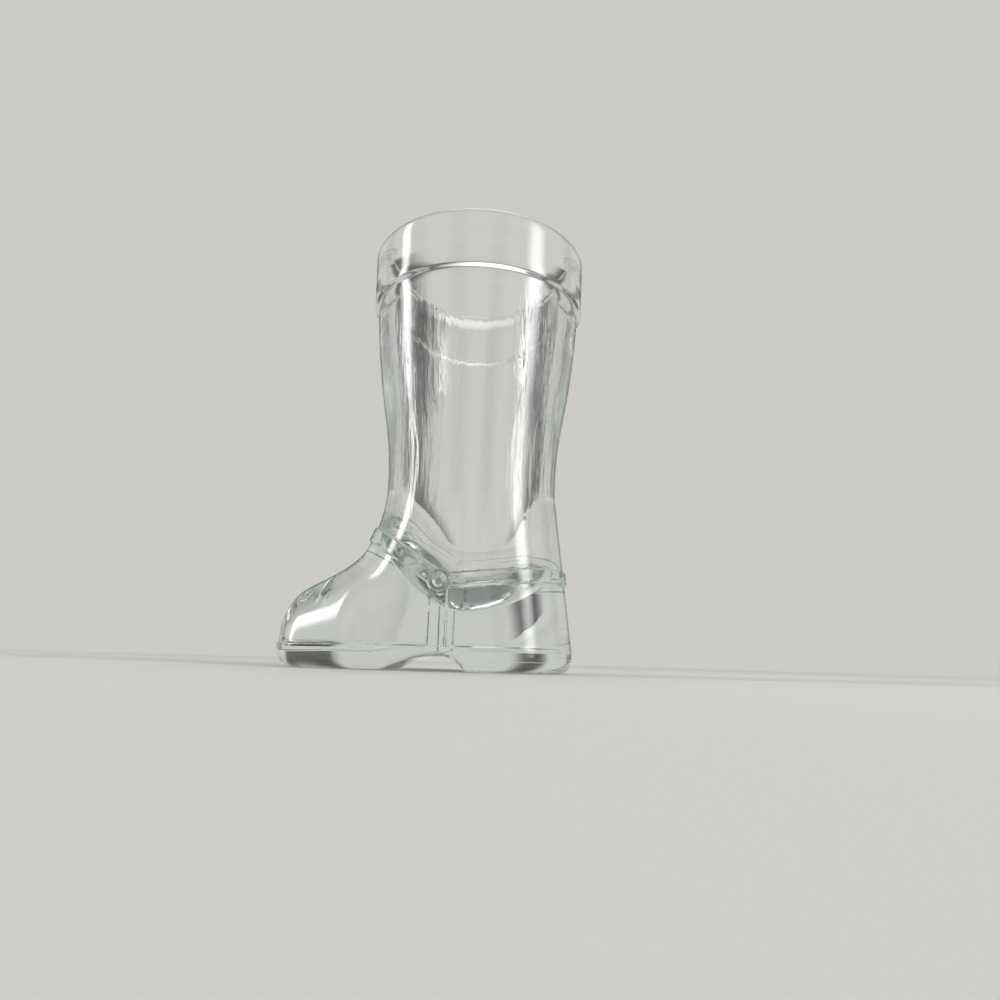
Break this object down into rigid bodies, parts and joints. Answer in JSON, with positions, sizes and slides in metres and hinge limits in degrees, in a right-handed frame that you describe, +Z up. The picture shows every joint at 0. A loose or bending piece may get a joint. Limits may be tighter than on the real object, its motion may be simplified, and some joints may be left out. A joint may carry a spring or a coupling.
{
  "type": "boot shot glass",
  "caption": "Clear pressed-glass shot glass shaped like a riding boot, with a plain band at the mouth, a solid foot with sole and heel, and a moulded ankle harness.",
  "frame": {"origin": "middle of the base on the table plane, under the centre of the bounding box", "axes": "+Z up through the mouth, -X toward the toe, +X toward the heel, -Y the side seen in the picture"},
  "size_m": [0.0536, 0.0416, 0.08],
  "materials": {
    "clear_glass": "fire-polished clear soda-lime glass with a faint green cast where it is thick"
  },
  "bodies": {
    "root": {"cuff": "clear_glass", "leg": "clear_glass", "foot": "clear_glass", "sole": "clear_glass", "heel": "clear_glass", "instep_strap": "clear_glass", "heel_strap": "clear_glass", "shank_strap_left": "clear_glass", "shank_strap_right": "clear_glass", "ring_left": "clear_glass", "ring_right": "clear_glass"}
  },
  "joints": []
}
